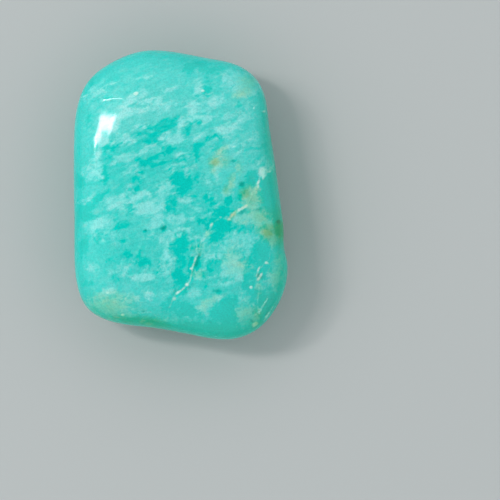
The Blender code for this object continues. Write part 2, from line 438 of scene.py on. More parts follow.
    (-7.4, 9.35, 0.60, 0.40, 30, 0.9),
    (-5.8, 6.5, 0.60, 0.40, 60, 1.2),
]

# Warm stains in the same terms: a strength of about 0.5 is peach and 1 is ochre
WARM_PATCHES = [
    (5.4, 9.1, 0.62, 0.34, 20, 0.45),
    (5.9, 10.0, 0.70, 0.60, 50, 0.30),
    (3.15, 2.90, 0.42, 0.36, 30, 0.85),
    (3.7, 3.0, 0.50, 0.50, 40, 0.40),
    (3.0, 2.2, 0.26, 0.34, 0, 0.40),
    (3.6, 3.7, 0.62, 0.30, 45, 0.42),
    (4.55, 1.0, 0.24, 0.62, -6, 0.50),
    (4.1, 0.4, 0.26, 0.34, 0, 0.62),
    (5.25, 2.4, 0.20, 0.46, 8, 0.42),
    (5.9, 0.1, 0.42, 0.44, 40, 0.85),
    (6.3, 0.6, 0.40, 0.24, 50, 0.55),
    (6.75, 0.3, 0.24, 0.40, 0, 0.55),
    (6.5, -0.4, 0.60, 0.80, -6, 0.60),
    (7.1, -0.5, 0.30, 0.50, 20, 0.50),
    (4.65, -1.85, 0.50, 0.16, 47, 0.60),
    (5.6, -2.3, 0.62, 0.40, 16, 0.30),
    (6.3, -1.5, 0.60, 0.44, 60, 0.40),
    (7.2, -2.0, 0.70, 0.70, 20, 0.62),
    (7.9, -3.35, 0.56, 0.50, 60, 1.0),
    (7.5, -3.0, 0.50, 0.40, 40, 0.70),
    (8.3, -2.8, 0.30, 0.34, 0, 0.80),
    (8.0, -3.8, 0.46, 0.36, -40, 0.75),
    (8.9, -3.2, 0.50, 0.86, 0, 1.0),
    (8.25, -4.3, 0.30, 0.34, 0, 0.45),
    (8.5, -1.9, 0.60, 0.60, 0, 0.40),
    (4.7, -5.8, 0.60, 1.00, 0, 0.26),
    (5.6, -6.4, 0.50, 0.50, 0, 0.30),
    (8.7, -5.8, 0.30, 0.60, 0, 0.36),
    (8.6, -7.3, 0.50, 0.80, 0, 0.34),
    (7.0, -8.4, 0.24, 0.80, 0, 0.34),
    (5.8, -10.6, 0.70, 0.70, 20, 0.34),
    (6.9, -10.7, 0.30, 0.40, 0, 0.55),
    (6.7, -11.6, 0.40, 0.30, 40, 0.50),
    (1.75, -7.1, 0.50, 0.26, 0, 0.34),
    (2.5, -9.7, 1.00, 0.36, 36, 0.30),
    (2.5, -3.4, 0.30, 0.30, 0, 0.30),
    (1.7, -4.9, 0.60, 0.40, 0, 0.24),
    (-6.3, -9.9, 1.60, 0.85, 0, 0.50),
    (-3.0, -11.4, 1.30, 0.30, -8, 0.70),
    (-5.0, -11.1, 2.00, 0.36, -8, 0.60),
    (-7.6, -10.4, 0.90, 0.50, -40, 0.45),
]

# White beads, and painted glints: highlights painted into the colour
WHITE_SPOTS_AND_GLINTS = [
    (7.35, 2.05, 0.34, 0.24, 100, 1.0),
    (7.5, 1.65, 0.26, 0.12, 65, 1.0),
    (7.4, 2.45, 0.24, 0.10, 90, 0.7),
    (8.1, 2.35, 0.22, 0.26, 0, 0.55),
    (8.0, 2.08, 0.12, 0.09, 0, 0.9),
    (7.0, 1.10, 0.26, 0.10, 70, 0.75),
    (6.95, 0.72, 0.16, 0.09, 80, 0.75),
    (6.8, 0.30, 0.30, 0.12, 80, 0.50),
    (6.4, 0.10, 0.30, 0.10, 55, 0.45),
    (5.85, -1.05, 0.16, 0.09, 40, 1.0),
    (5.58, -1.24, 0.16, 0.10, 40, 1.0),
    (5.28, -1.36, 0.14, 0.10, 20, 0.95),
    (4.66, -1.84, 0.44, 0.11, 47, 0.60),
    (4.4, -2.2, 0.14, 0.10, 0, 0.65),
    (3.6, -2.03, 0.11, 0.08, 0, 0.55),
    (4.05, -2.13, 0.09, 0.07, 0, 0.4),
    (2.77, -2.72, 0.20, 0.09, 62, 0.7),
    (2.4, -3.40, 0.24, 0.18, 30, 0.40),
    (2.1, -4.05, 0.26, 0.10, 55, 0.45),
    (1.33, -5.8, 0.30, 0.08, 75, 0.75),
    (1.15, -6.35, 0.26, 0.08, 62, 0.75),
    (1.0, -6.62, 0.12, 0.09, 0, 0.9),
    (0.6, -8.05, 0.13, 0.11, 0, 1.0),
    (0.25, -8.42, 0.34, 0.07, 42, 0.5),
    (-0.2, -8.76, 0.22, 0.10, 35, 0.75),
    (-0.55, -9.3, 0.18, 0.14, 60, 0.60),
    (7.7, -6.08, 0.12, 0.10, 0, 0.85),
    (7.02, -6.68, 0.20, 0.08, 60, 0.8),
    (7.22, -7.2, 0.18, 0.09, 55, 0.9),
    (7.02, -7.55, 0.14, 0.09, 60, 0.8),
    (6.85, -7.2, 0.30, 0.07, 80, 0.5),
    (7.05, -8.5, 0.30, 0.12, 80, 0.35),
    (6.32, -8.3, 0.13, 0.12, 0, 0.95),
    (8.3, -8.15, 0.14, 0.12, 0, 0.5),
    (6.55, -9.72, 0.18, 0.10, 75, 0.9),
    (7.1, -10.3, 0.14, 0.12, 0, 0.7),
    (6.68, -11.66, 0.24, 0.13, 35, 1.0),
    # A painted highlight: the glint streak on the lower right
    (7.8, -10.82, 0.42, 0.07, 57, 1.0),
    (8.2, -10.22, 0.22, 0.06, 60, 0.6),
    (2.0, 9.3, 0.12, 0.10, 0, 0.9),
    (6.6, 7.75, 0.10, 0.09, 0, 0.7),
    (7.5, 7.5, 0.14, 0.11, 0, 0.8),
    (4.8, 4.3, 0.12, 0.09, 0, 0.6),
    # A painted highlight at the upper left
    (-3.95, 9.05, 0.20, 0.13, 10, 1.0),
    (-5.2, -10.8, 0.14, 0.10, 0, 0.9),
    (-6.55, -8.8, 0.13, 0.11, 0, 0.7),
    (-8.5, 8.9, 0.50, 0.10, 18, 0.5),
    (-7.2, 9.4, 0.36, 0.09, 25, 0.5),
]

# Dark specks, and painted shadow on the shadowed side of each crack
DARK_SPOTS_AND_CRACK_SHADOWS = [
    (5.5, -1.55, 0.50, 0.16, 38, 0.6),
    (7.05, -1.30, 0.42, 0.14, 20, 0.5),
    (5.5, 0.95, 0.24, 0.20, 0, 0.7),
    (6.3, 1.4, 0.50, 0.40, 40, 0.35),
    (8.8, -2.42, 0.16, 0.14, 0, 1.0),
    (1.62, -5.65, 0.42, 0.12, 70, 0.8),
    (1.45, -6.2, 0.36, 0.14, 62, 0.8),
    (1.1, -6.85, 0.16, 0.09, 60, 0.6),
    (1.05, -5.65, 0.22, 0.08, 80, 0.5),
    (0.75, -8.35, 0.36, 0.10, 42, 0.5),
    (-0.5, -8.7, 0.24, 0.16, 40, 0.5),
    (7.0, -7.22, 0.20, 0.10, 60, 0.8),
    (7.32, -7.45, 0.22, 0.09, 55, 0.6),
    (6.4, -11.3, 0.14, 0.12, 0, 0.8),
    (7.8, -10.6, 0.30, 0.10, 57, 0.5),
    (-3.1, -3.2, 0.12, 0.10, 0, 0.7),
    (-1.5, -3.0, 0.24, 0.16, 20, 0.8),
    (0.3, -3.35, 0.10, 0.08, 0, 0.5),
    (-0.3, -3.45, 0.10, 0.08, 0, 0.5),
    (-3.3, -10.4, 0.14, 0.09, 0, 0.8),
    (4.7, 3.0, 0.18, 0.11, 10, 0.6),
    (2.7, -11.4, 0.18, 0.12, 0, 0.5),
    (0.5, -11.6, 0.40, 0.10, 10, 0.5),
    (3.3, -8.6, 0.34, 0.14, -4, 0.5),
    (1.1, -8.05, 0.24, 0.10, 10, 0.5),
]

# Broad milky clouds
MILKY_PATCHES = [
    (-3.0, 7.6, 4.2, 2.2, 14, 0.8),
    (-5.6, 6.2, 1.6, 1.4, 0, 0.8),
    (2.2, 7.0, 3.6, 2.0, 10, 0.55),
    (4.4, 3.2, 2.2, 2.2, 30, 0.6),
    (-1.4, 11.0, 5.0, 1.0, -4, 0.3),
    (-3.6, -1.6, 2.6, 2.4, 20, 0.35),
    (4.2, -5.6, 2.6, 2.4, 30, 0.35),
    (-5.6, -8.6, 2.6, 2.0, 0, 0.35),
    (-1.4, -5.4, 1.2, 2.4, 0, 0.3),
    (-4.6, 11.4, 3.0, 1.0, 20, 0.4),
]

# Cracks: points along each, and how open it is
CRACKS = [
    ([(8.3, 2.6), (8.0, 2.0), (7.4, 2.1), (7.1, 1.5), (6.9, 1.0)], 0.6),
    ([(6.9, 1.0), (6.75, 0.6), (6.3, -0.3), (5.95, -1.0)], 0.6),
    ([(5.95, -1.05), (5.55, -1.25), (5.15, -1.55), (4.75, -1.85), (4.35, -2.3)], 1.0),
    ([(4.35, -2.3), (3.7, -2.05), (3.1, -2.4)], 0.15),
    ([(2.95, -2.6), (2.7, -3.05), (2.4, -3.4), (1.9, -4.1), (1.7, -5.1)], 0.6),
    ([(1.7, -5.1), (1.38, -5.8), (1.1, -6.6), (1.0, -7.2), (0.88, -7.7)], 1.0),
    ([(0.88, -7.7), (0.6, -8.05), (0.2, -8.5), (-0.25, -8.8)], 1.0),
    ([(-0.25, -8.8), (-0.6, -9.2), (-0.8, -9.7), (-0.95, -10.1)], 0.4),
    ([(7.7, -6.0), (7.1, -6.7), (6.95, -7.2), (6.9, -7.8), (7.05, -8.6)], 0.5),
    ([(7.05, -8.6), (6.9, -9.6), (7.0, -10.5), (6.7, -11.6)], 0.5),
    ([(7.25, -7.2), (7.1, -7.5), (6.9, -7.7)], 0.6),
    ([(-8.9, 8.75), (-8.1, 9.05), (-7.3, 9.35), (-6.8, 9.75), (-6.1, 9.95)], 0.6),
    ([(-8.0, 8.95), (-7.4, 9.1), (-6.6, 9.2)], 0.4),
    ([(-6.9, 8.35), (-6.2, 8.5), (-5.3, 8.55)], 0.3),
    ([(-3.7, -10.65), (-3.1, -10.55), (-2.6, -10.55), (-2.2, -10.85)], 0.5),
]

# A patch is full out to FULL_OUT_TO times its half length and width, and has faded away at GONE_BY times
FULL_OUT_TO = 0.484
GONE_BY = 2.097

# Distances from a crack at which it is felt, and at which it counts as open, in millimetres
CRACK_REACH = 1.0
CRACK_OPEN_REACH = 0.8

# Heights in millimetres between which noise gives way to the listed patches, and relief comes in
PLACED_HEIGHTS = (2.6, 4.2)
RELIEF_HEIGHTS = (3.0, 4.6)

# Layers of seeded noise: how strong each is, how large its lumps are in millimetres, and its seed
PATCH_WANDER_X = [(0.16, 0.8, 11), (0.08, 0.35, 12)]
PATCH_WANDER_Y = [(0.13, 0.8, 13), (0.08, 0.35, 14)]
FLANK_DEEP = [(0.7, 0.9, 21), (0.4, 0.45, 22)]
FLANK_PALE = [(0.7, 0.8, 23), (0.4, 0.4, 24)]
FLANK_WARM = [(1.0, 2.2, 31)]
UNEVENNESS = [(0.010, 2.7, 41), (0.003, 1.1, 42)]
LATTICE_SIZE = 48  # cells along each side of the noise, before it repeats

# How the flanks' noise is drawn out and turned: each row makes one of its axes from X, Y and Z
FLANK_GRAIN = [
    (0.35, 0.18, 0.0),
    (-0.45, 0.9, 0.0),
    (0.0, 0.0, 0.5),
]
FLANK_PATCH_LEVELS = (0.05, 0.6)  # of the noise at which a patch begins and is full
FLANK_CLEAR_LEVELS = (0.0, 0.5)  # of the deep noise at which it clears the pale patches away
FLANK_WARM_LEVELS = (0.45, 0.8)
FLANK_WARM_STRENGTH = 0.6

# The rim, with painted shade: from this share of the way to the edge, or below this height in millimetres,
# the stone is darker and deeper, partly its own deeper edge colour and partly shade painted into the colour
RIM_SHADE_START = 0.80
RIM_SHADE_HEIGHT = 5.4

# Painted shade: the stone is made greener and deeper on the side that faces this way, in degrees from +X,
# away from the window
SHADED_SIDE = -35
SHADED_LEVELS = (-0.4, 0.7)  # of the cosine of the angle from that side
FACE_SHADE = 0.12  # the most that the upper face is shaded, towards the lower right
FACE_SHADE_LEAN = 0.3
FACE_SHADE_REACH = 9.0

# The grain is streaks above, and blocks below, the line from (2, 0) that climbs this steeply
GRAIN_LINE_SLOPE = 0.5
GRAIN_LINE_DROP = 1.0
GRAIN_LINE_SPREAD = 3.0

# Relief in the surface, in millimetres
CRACK_DEPTH = 0.05
CRACK_WIDTH = 0.08
CRACK_STEP = 0.012
CRACK_STEP_WIDTH = 0.15
CRACK_STEP_REACH = 0.5
SPOT_DEPTH = 0.02

# Bruises on the lower half, in millimetres
BRUISES = 26
BRUISE_SEED = 5
BRUISE_SPREADS = (0.16, 0.42)
BRUISE_DEPTHS = (0.02, 0.05)
BRUISE_FLATNESS = 4  # of the bottom of a bruise: 2 is a round dent
BRUISE_LEAN = (1, 1, 0.5)  # keeps more of them on the flanks than underneath

# Noise in the stone. Grain has a turn in degrees from +X, a length, a scale per millimetre, detail, roughness
# and distortion
STREAKS = (27, 2.8, 2.2, 2.5, 0.6, 0.4)
BLOCKS = (84, 1.7, 1.9, 2.5, 0.6, 0.4)
LUMPS = (20, 1.5, 2.4, 1.6, 0.6, 0.6)
SPECKLE_SCALE = 9.0
DUST_SCALE = 7.0
DOTS_SCALE = 2.6
NOISE_MIDDLE = 0.5  # the middle value of a noise texture

# How strongly each noise makes the patches ragged
GRAIN_RAGGED = 0.75
LUMPS_RAGGED = 0.8
SPECKLE_RAGGED = 0.10

# What the stone's whiteness starts from, and what each marking adds to it; the rim and shade entries are
# painted shade
PLAIN_WHITENESS = 0.40
WHITENESS = {
    "ragged": 0.55,
    "milky": 0.26,
    "rim": -0.12,
    "shade": -0.16,
    "pale": 0.36,
    "deep": -0.38,
}

# The stone's colour by its whiteness, and what a stain takes from the light by its strength
STONE_COLOURS = [
    (0.0, (0.0, 0.66, 0.575, 1)),
    (0.12, (0.0, 0.69, 0.605, 1)),
    (0.42, (0.075, 0.72, 0.655, 1)),
    (0.75, (0.24, 0.80, 0.75, 1)),
    (1.0, (0.42, 0.87, 0.83, 1)),
]
STAIN_COLOURS = [
    (0.05, (1.0, 1.0, 1.0, 1)),
    (0.5, (1.0, 0.90, 0.74, 1)),
    (1.0, (0.90, 0.70, 0.38, 1)),
]
CRACK_COLOUR = (0.40, 0.88, 0.80, 1)
CRACK_COVER = 0.7
BEAD_AND_GLINT_COLOUR = (0.66, 0.93, 0.86, 1)
# Filters for painted shade at the rim and on the shaded side, and for dark specks with painted shadow beside
# cracks
RIM_SHADE_FILTER = (0.60, 0.90, 0.90, 1)
SHADE_FILTER = (0.70, 0.95, 0.82, 1)
SPECK_AND_SHADOW_FILTER = (0.25, 0.62, 0.56, 1)
DUST_FILTER = (0.76, 0.80, 0.79, 1)

# The polish: roughness of deep and of white stone, and what a crack, bead or painted glint adds
DEEP_ROUGHNESS = 0.05
WHITE_ROUGHNESS = 0.12
BROKEN_ROUGHNESS = 0.35
BUMP_HEIGHT = 0.002  # millimetres

# Light panels, PANEL_HEIGHT metres above the floor: centre and size as shares of that height, turn in degrees
# from +X, and power in watts
PANEL_HEIGHT = 0.6
PANELS = {
    "window_upper": ((-0.76, 0.375), (0.52, 0.125), -17, 1.85),
    "window_lower": ((-1.03, 0.28), (0.36, 0.12), 18, 1.15),
    "low_lamp": ((2.2, -1.9), (0.5, 0.5), 0, 1.5),
}

# The room: bright walls up to the first height, as the Z of a direction, and a dark ceiling from the second
ROOM_COLOUR = (0.88, 0.97, 1.0, 1)
WALL_TOP = 0.70
CEILING_EDGE = 0.96
WALL_STRENGTH = 1.2
CEILING_STRENGTH = 0.12
BRIGHT_SIDE = (-0.6, 0.6, 0.5)
SIDE_REACH = 0.9
DIM_SIDE_SHARE = 0.75
BRIGHT_SIDE_SHARE = 0.95

FLOOR_COLOUR = (0.52, 0.52, 0.51, 1)
FLOOR_HALF_SIZE = 3.0  # metres

CAMERA_DISTANCE = 0.5  # metres above the stone's edge
SENSOR_WIDTH = 36.0
FRAME_WIDTH_MM = 45.05
FRAME_CENTRE_MM = (6.24, -4.96)


def closed_spline(points, samples):
    """Points of the smooth closed curve through points: a periodic cubic spline over the chord lengths."""
    count = len(points)
    chord = np.linalg.norm(np.roll(points, -1, axis=0) - points, axis=1)
    before = np.roll(chord, 1)
    slope = (np.roll(points, -1, axis=0) - points) / chord[:, None]
    matrix = np.zeros((count, count))
    for i in range(count):
        matrix[i, i - 1] = before[i]
        matrix[i, i] = 2 * (before[i] + chord[i])
        matrix[i, (i + 1) % count] = chord[i]
    bend = np.linalg.solve(matrix, 6 * (slope - np.roll(slope, 1, axis=0)))
    start = np.concatenate([[0], np.cumsum(chord)])
    along = np.linspace(0, start[-1], samples, endpoint=False)
    i = np.searchsorted(start, along, side="right") - 1
    j = (i + 1) % count
    step = chord[i][:, None]
    a = (start[i + 1] - along)[:, None] / step
    b = 1 - a
    curved = ((a**3 - a) * bend[i] + (b**3 - b) * bend[j]) * step**2 / 6
    return a * points[i] + b * points[j] + curved


def edge_table():
    """Angles round the stone, in order, and the radius of its edge at each, fitted to WIDTH and LENGTH."""
    curve = closed_spline(np.array(EDGE_POINTS), EDGE_SAMPLES)
    low, high = curve.min(axis=0), curve.max(axis=0)
    curve = (curve - (low + high) / 2) * np.array([WIDTH, LENGTH]) / (high - low)
    angle = np.arctan2(curve[:, 1], curve[:, 0])
    order = np.argsort(angle)
    return angle[order], np.hypot(curve[:, 0], curve[:, 1])[order]


def body_gauge(ways, edge):
    """For vectors from the girdle plane's middle, their length as a share of the way to the plain body."""
    x, y, z = ways.T
    reach = np.hypot(x, y) / np.interp(np.arctan2(y, x), *edge, period=2 * math.pi)
    above = z > 0
    half_height = np.where(above, THICKNESS - GIRDLE_HEIGHT, GIRDLE_HEIGHT + RESTING_CUT)
    fullness = np.where(above, CROWN_FULLNESS, BELLY_FULLNESS)
    return (reach**fullness + np.abs(z / half_height) ** fullness) ** (1 / fullness)


def facet_planes(plain):
    """The outward normal and the distance of each facet, cut to its depth below the plain body's points."""
    planes = []
    for azimuth, tilt, depth in FACETS:
        around, down = math.radians(azimuth), math.radians(tilt)
        normal = np.array(
            [math.sin(down) * math.cos(around), math.sin(down) * math.sin(around), math.cos(down)]
        )
        planes.append((normal, (plain @ normal).max() - depth))
    return planes


def ground_stone(ways):
    """Points of the finished surface, in millimetres above the resting plane, one along each of ways."""
    edge = edge_table()
    body = body_gauge(ways, edge)
    total = body**FACET_CRISPNESS
    for normal, distance in facet_planes(ways / body[:, None]):
        total += np.maximum(ways @ normal / distance, 0) ** FACET_CRISPNESS
    points = ways / (total ** (1 / FACET_CRISPNESS))[:, None]
    outward = points / np.linalg.norm(points, axis=1)[:, None]
    points[:, 2] += GIRDLE_HEIGHT
    for centre, spread, depth in NICKS:
        away = np.linalg.norm(points - np.array(centre), axis=1)
        points -= outward * (depth * np.exp(-((away / spread) ** 2)))[:, None]
    return points


def box_grid(cells):
    """A closed cube from -1 to 1, its edges along X, Y and Z cut into that many cells."""
    bm = bmesh.new()
    side = 2
    bmesh.ops.create_cube(bm, size=side)
    for axis, count in enumerate(cells):
        along = [e for e in bm.edges if abs(e.verts[0].co[axis] - e.verts[1].co[axis]) > side / 2]
        bmesh.ops.subdivide_edges(bm, edges=along, cuts=count - 1, use_grid_fill=True)
    return bm


def smooth(low, high, value):
    """0 below low, 1 above high and an even rise between."""
    share = np.clip((value - low) / (high - low), 0, 1)
    return share * share * (3 - 2 * share)


def cloud(points, size, seed):
    """Seeded smooth noise from about -1 to 1, with lumps about size across."""
    lattice = np.random.default_rng(seed).uniform(-1, 1, (LATTICE_SIZE, LATTICE_SIZE, LATTICE_SIZE))
    place = points / size
    base = np.floor(place).astype(int)
    share = place - base
    share = share * share * (3 - 2 * share)
    total = np.zeros(len(points))
    for i in (0, 1):
        for j in (0, 1):
            for k in (0, 1):
                corner = (base + (i, j, k)) % LATTICE_SIZE
                weight = np.prod(np.where((i, j, k), share, 1 - share), axis=1)
                total += weight * lattice[corner[:, 0], corner[:, 1], corner[:, 2]]
    return total


def layered(points, layers):
    """The sum of clouds, from layers of (strength, size, seed)."""
    return sum(strength * cloud(points, size, seed) for strength, size, seed in layers)


def patch_field(x, y, patches):
    """How strongly each point lies in any of the soft-edged ellipses."""
    field = np.zeros(len(x))
    for centre_x, centre_y, half_length, half_width, turn, strength in patches:
        c, s = math.cos(math.radians(turn)), math.sin(math.radians(turn))
        along = ((x - centre_x) * c + (y - centre_y) * s) / half_length
        across = ((y - centre_y) * c - (x - centre_x) * s) / half_width
        fading = (GONE_BY - np.hypot(along, across)) / (GONE_BY - FULL_OUT_TO)
        field = np.maximum(field, strength * np.clip(fading, 0, 1))
    return field


def crack_fields(x, y):
    """The signed distance to the nearest crack, up to CRACK_REACH, and how open that crack is."""
    nearest = np.full(len(x), CRACK_REACH)
    openness = np.zeros(len(x))
    for points, opening in CRACKS:
        for (x0, y0), (x1, y1) in zip(points, points[1:]):
            length = math.hypot(x1 - x0, y1 - y0)
            ahead_x, ahead_y = (x1 - x0) / length, (y1 - y0) / length
            along = (x - x0) * ahead_x + (y - y0) * ahead_y
            side = (y - y0) * ahead_x - (x - x0) * ahead_y
            past = along - np.clip(along, 0, length)
            away = np.hypot(past, side)
            closer = away < np.abs(nearest)
            nearest = np.where(closer, np.where(side < 0, -away, away), nearest)
            openness = np.where(closer & (away < CRACK_OPEN_REACH), opening, openness)
    return nearest, openness


def stone_fields(points):
    """The stone's markings at each point, by name, with painted shade at the rim and on the shaded side,
    painted glints and painted shadow beside cracks.
    """
    x, y, z = points.T
    top = smooth(*PLACED_HEIGHTS, z)
    patch_x = x + layered(points, PATCH_WANDER_X)
    patch_y = y + layered(points, PATCH_WANDER_Y)
    grain = points @ np.array(FLANK_GRAIN).T
    flank_deep = layered(grain, FLANK_DEEP)
    flank_pale = smooth(*FLANK_PATCH_LEVELS, layered(grain, FLANK_PALE))
    flank_pale *= 1 - smooth(*FLANK_CLEAR_LEVELS, flank_deep)
    flank_deep = smooth(*FLANK_PATCH_LEVELS, flank_deep)
    flank_warm = FLANK_WARM_STRENGTH * smooth(*FLANK_WARM_LEVELS, layered(points, FLANK_WARM))
    deep = top * patch_field(patch_x, patch_y, DEEP_PATCHES) + (1 - top) * flank_deep
    pale = top * patch_field(patch_x, patch_y, PALE_PATCHES) + (1 - top) * flank_pale
    warm = top * patch_field(patch_x, patch_y, WARM_PATCHES) + (1 - top) * flank_warm
    angle = np.arctan2(y, x)
    share = np.hypot(x, y) / np.interp(angle, *edge_table(), period=2 * math.pi)
    # Painted shade: darker at the rim and on the flanks, with some of the edge's own deeper colour
    rim = np.maximum(smooth(RIM_SHADE_START, 1.0, share), 1 - smooth(GIRDLE_HEIGHT, RIM_SHADE_HEIGHT, z))
    # Painted shade on the side away from the window, and across the upper face towards the lower right
    shaded = smooth(*SHADED_LEVELS, np.cos(angle - math.radians(SHADED_SIDE)))
    face_shade = FACE_SHADE * smooth(0.0, FACE_SHADE_REACH, x - FACE_SHADE_LEAN * y)
    below_line = GRAIN_LINE_SLOPE * x - y - GRAIN_LINE_DROP
    distance, openness = crack_fields(x, y)
    return {
        "deep": deep,
        "pale": pale,
        "warm": warm,
        "bead_and_glint": top * patch_field(x, y, WHITE_SPOTS_AND_GLINTS),
        "speck_and_crack_shadow": top * patch_field(x, y, DARK_SPOTS_AND_CRACK_SHADOWS),
        "milky": top * patch_field(x, y, MILKY_PATCHES),
        "rim": rim,
        "shade": np.clip(rim * shaded + face_shade, 0, 1),
        "blocky": smooth(-GRAIN_LINE_SPREAD, GRAIN_LINE_SPREAD, below_line),
        "crack_side": distance,
        "crack_open": openness * top,
    }


def relief(points):
    """How far the surface stands above the plain form, in millimetres: a tumbled stone's small unevenness."""
    x, y, z = points.T
    distance, openness = crack_fields(x, y)
    height = layered(points, UNEVENNESS)
    groove = CRACK_DEPTH * np.exp(-((distance / CRACK_WIDTH) ** 2))
    step = CRACK_STEP * np.clip(distance / CRACK_STEP_WIDTH, -1, 1)
    step *= np.exp(-np.abs(distance) / CRACK_STEP_REACH)
    pits = SPOT_DEPTH * np.maximum(patch_field(x, y, DARK_SPOTS_AND_CRACK_SHADOWS), patch_field(x, y, WHITE_SPOTS_AND_GLINTS))
    height += smooth(*RELIEF_HEIGHTS, z) * (openness * (step - groove) - pits)
    random = np.random.default_rng(BRUISE_SEED)
    for _ in range(BRUISES):
        way = random.normal(size=3) * BRUISE_LEAN
        way[2] = -abs(way[2])
        # The facets are cut from this one point here, so the centre lies a little under the surface
        centre = ground_stone(way[None, :])[0]
        away = np.linalg.norm(points - centre, axis=1) / random.uniform(*BRUISE_SPREADS)
        height -= random.uniform(*BRUISE_DEPTHS) * np.exp(-(away**BRUISE_FLATNESS))
    return height


def stone_mesh():
    """The fine mesh of the stone in metres, with its markings as attributes."""
    bm = box_grid(CELLS)
    corners = np.array([v.co for v in bm.verts])
    half_box = np.array([WIDTH / 2, LENGTH / 2, THICKNESS / 2])
    even_spread = np.tan(corners * math.pi / 4)
    points = ground_stone(even_spread * half_box)
    for vert, point in zip(bm.verts, points):
        vert.co = point
    bmesh.ops.recalc_face_normals(bm, faces=bm.faces[:])
    bm.normal_update()
    normals = np.array([v.normal for v in bm.verts])
    uneven = points + normals * relief(points)[:, None]
    uneven[:, 2] = np.maximum(uneven[:, 2], 0)
    for vert, point in zip(bm.verts, uneven * MM):
        vert.co = point
    mesh = bpy.data.meshes.new("polished_amazonite")
    bm.to_mesh(mesh)
    bm.free()
    mesh.shade_smooth()
    for name, values in stone_fields(points).items():
        attribute = mesh.attributes.new(name, "FLOAT", "POINT")
        attribute.data.foreach_set("value", values.astype(np.float32))
    return mesh


class NodeTree:
    """A short way to add nodes to one material or world."""

    def __init__(self, tree):
        self.tree = tree

    def add(self, kind, sockets, output, **settings):
        made = self.tree.nodes.new(kind)
        for name, value in settings.items():
            setattr(made, name, value)
        for key, value in sockets.items():
            if isinstance(value, bpy.types.NodeSocket):
                self.tree.links.new(value, made.inputs[key])
            else:
                made.inputs[key].default_value = value
        return made.outputs[output]

    def math(self, operation, a, b=0.0, c=0.0):
        return self.add("ShaderNodeMath", {0: a, 1: b, 2: c}, 0, operation=operation)

    def rise(self, value, low, high, bottom=0.0, top=1.0):
        """bottom below low, top above high and a smooth rise between."""
        sockets = {"Value": value, "From Min": low, "From Max": high, "To Min": bottom, "To Max": top}
        return self.add("ShaderNodeMapRange", sockets, "Result", interpolation_type="SMOOTHSTEP")

    def mix(self, factor, a, b):
        return self.add("ShaderNodeMix", {0: factor, 6: a, 7: b}, 2, data_type="RGBA")

    def filtered(self, factor, colour, filter_colour):
        """colour seen through filter_colour."""
        return self.add(
            "ShaderNodeMix",
            {0: factor, 6: colour, 7: filter_colour},
            2,
            data_type="RGBA",
            blend_type="MULTIPLY",
        )

    def ramp(self, value, *stops):
        """A colour for value, from stops of (position, colour) in order."""
        made = self.tree.nodes.new("ShaderNodeValToRGB")
        self.tree.links.new(value, made.inputs["Fac"])
        elements = made.color_ramp.elements
        while len(elements) < len(stops):
            elements.new(0.5)
        for element, (position, colour) in zip(elements, stops):
            element.position = position
            element.color = colour
        return made.outputs["Color"]

    def blend(self, factor, a, b):
        return self.add("ShaderNodeMix", {0: factor, 2: a, 3: b}, 0, data_type="FLOAT")

    def plus(self, base, value, strength):
        """base and strength times value."""
        return self.math("MULTIPLY_ADD", value, strength, base)

    def swayed(self, base, noise, strength):
        """base and strength times the noise's rise above its middle value."""
        return self.plus(base, self.math("SUBTRACT", noise, NOISE_MIDDLE), strength)

    def field(self, name):
        return self.add("ShaderNodeAttribute", {}, "Fac", attribute_name=name)

    def noise(self, place, scale, detail, roughness, distortion=0.0):
        sockets = {"Vector": place, "Scale": scale, "Detail": detail, "Roughness": roughness}
        sockets["Distortion"] = distortion
        return self.add("ShaderNodeTexNoise", sockets, "Fac")

    def stretched(self, place, turn, length):
        """place turned and drawn out, so that a texture on it runs along turn degrees from +X."""
        sockets = {
            "Vector": place,
            "Rotation": (0, 0, math.radians(turn)),
            "Scale": (length, 1, 1),
        }
        return self.add("ShaderNodeMapping", sockets, "Vector", vector_type="TEXTURE")

    def grain(self, place, turn, length, scale, detail, roughness, distortion):
        """Noise that is drawn out along turn degrees from +X."""
        return self.noise(self.stretched(place, turn, length), scale, detail, roughness, distortion)


